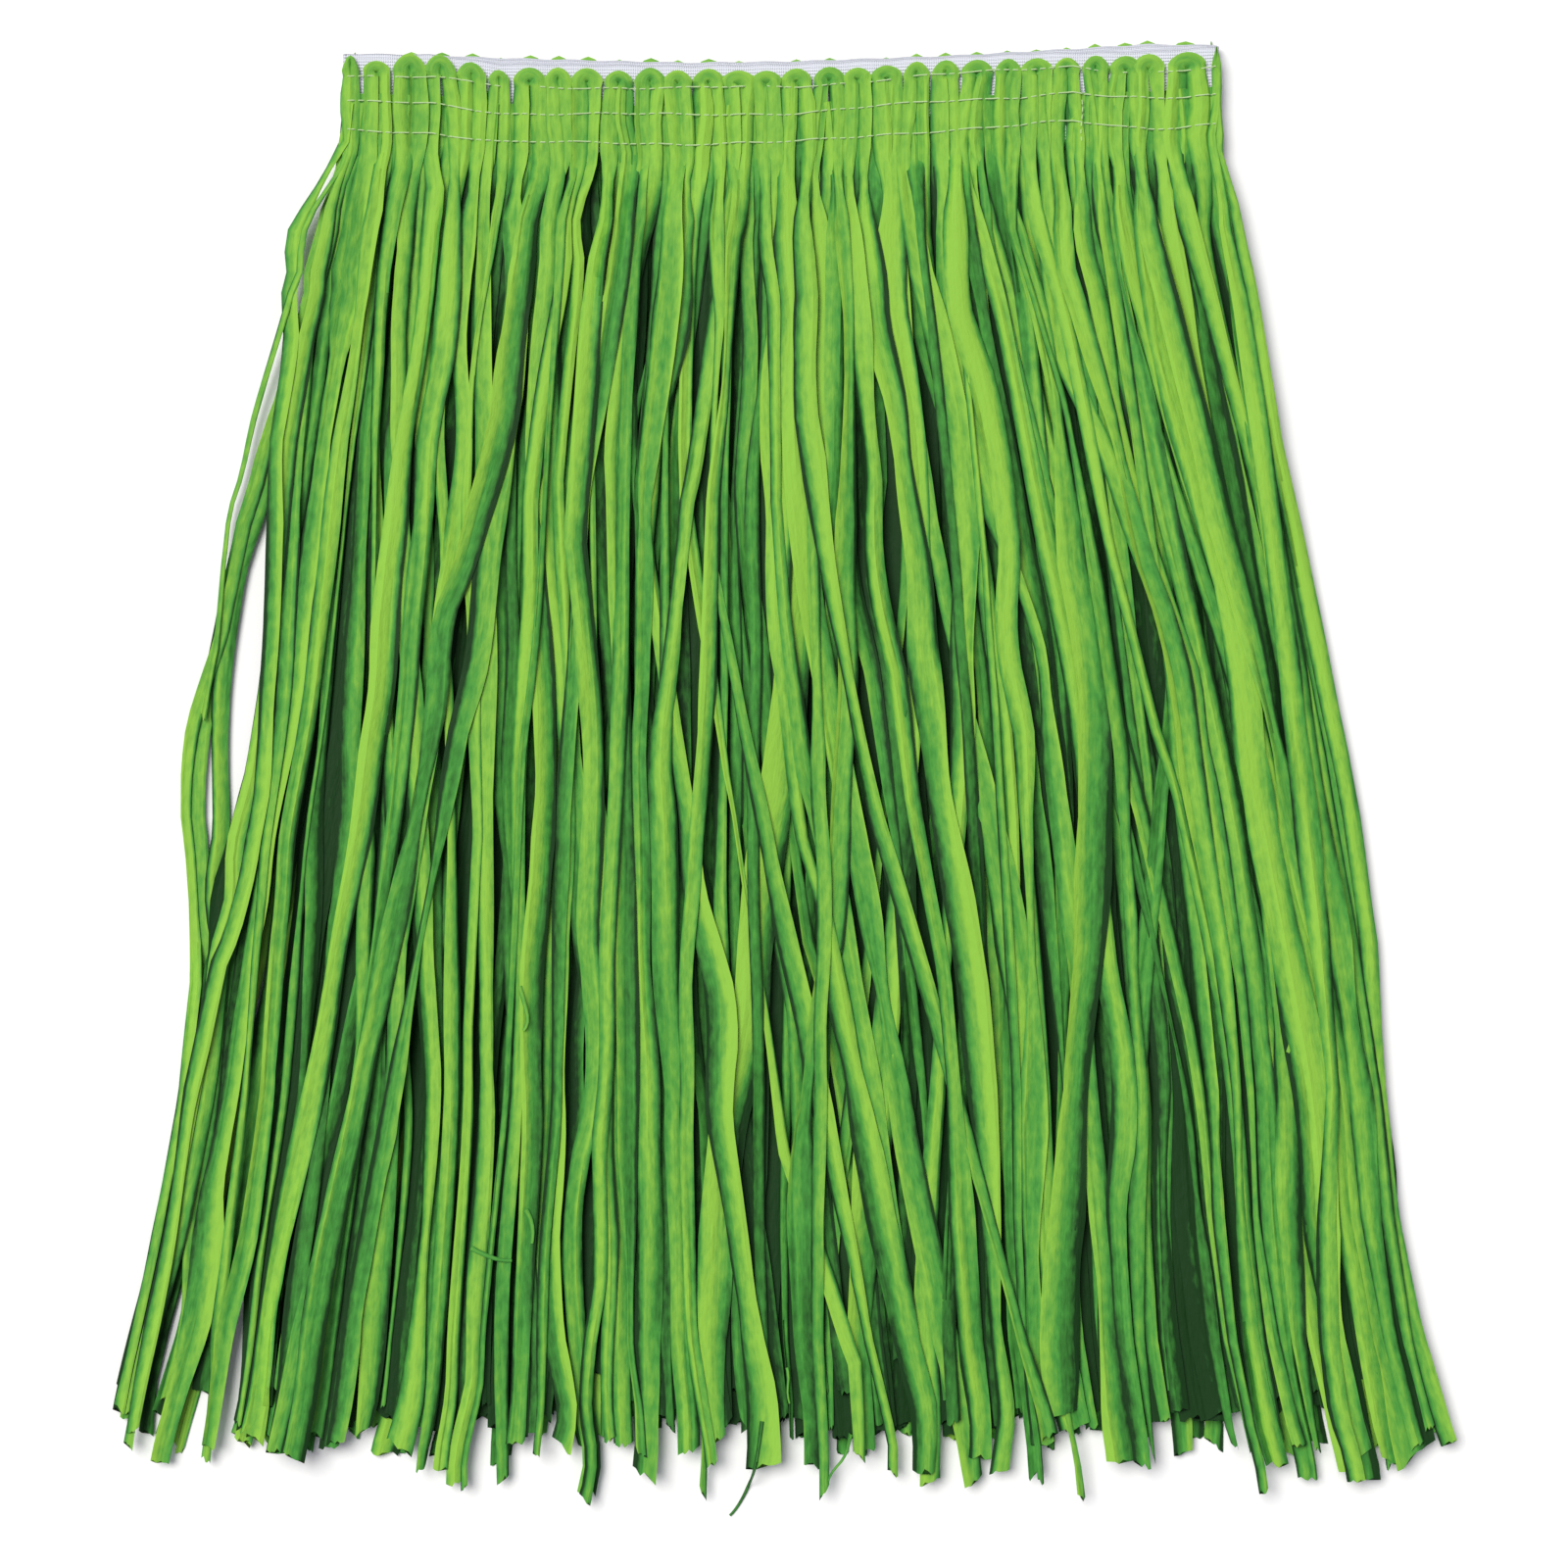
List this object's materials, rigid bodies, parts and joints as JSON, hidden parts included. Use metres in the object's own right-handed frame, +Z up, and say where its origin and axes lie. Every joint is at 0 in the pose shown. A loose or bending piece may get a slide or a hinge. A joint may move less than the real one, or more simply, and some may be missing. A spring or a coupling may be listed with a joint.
{
  "type": "grass skirt",
  "caption": "Knee-length grass skirt laid flat: locks of green paper raffia, looped and stitched in rows over a white elastic waist tape, with a ragged hem.",
  "frame": {"origin": "on the surface the skirt lies on, under the middle of its bounding box", "axes": "+Y from the hem to the waist, +X to the right seen from above with the waist at the top, +Z up off the surface"},
  "size_m": [0.5762, 0.635, 0.0162],
  "materials": {
    "raffia": "matt crinkled paper raffia, dyed lime green",
    "raffia_back": "matt crinkled paper raffia, dyed lime green",
    "tape": "white ribbed elastic tape"
  },
  "bodies": {
    "root": {"waist_tape": "tape", "back_lock_01": "raffia_back", "back_lock_02": "raffia_back", "back_lock_03": "raffia_back", "back_lock_04": "raffia_back", "back_lock_05": "raffia_back", "back_lock_06": "raffia_back", "back_lock_07": "raffia_back", "back_lock_08": "raffia_back", "back_lock_09": "raffia_back", "back_lock_10": "raffia_back", "back_lock_11": "raffia_back", "back_lock_12": "raffia_back", "back_lock_13": "raffia_back", "back_lock_14": "raffia_back", "back_lock_15": "raffia_back", "back_lock_16": "raffia_back", "front_lock_01": "raffia", "front_lock_02": "raffia", "front_lock_03": "raffia", "front_lock_04": "raffia", "front_lock_05": "raffia", "front_lock_06": "raffia", "front_lock_07": "raffia", "front_lock_08": "raffia", "front_lock_09": "raffia", "front_lock_10": "raffia", "front_lock_11": "raffia", "front_lock_12": "raffia", "front_lock_13": "raffia", "front_lock_14": "raffia", "front_lock_15": "raffia", "front_lock_16": "raffia"}
  },
  "joints": []
}
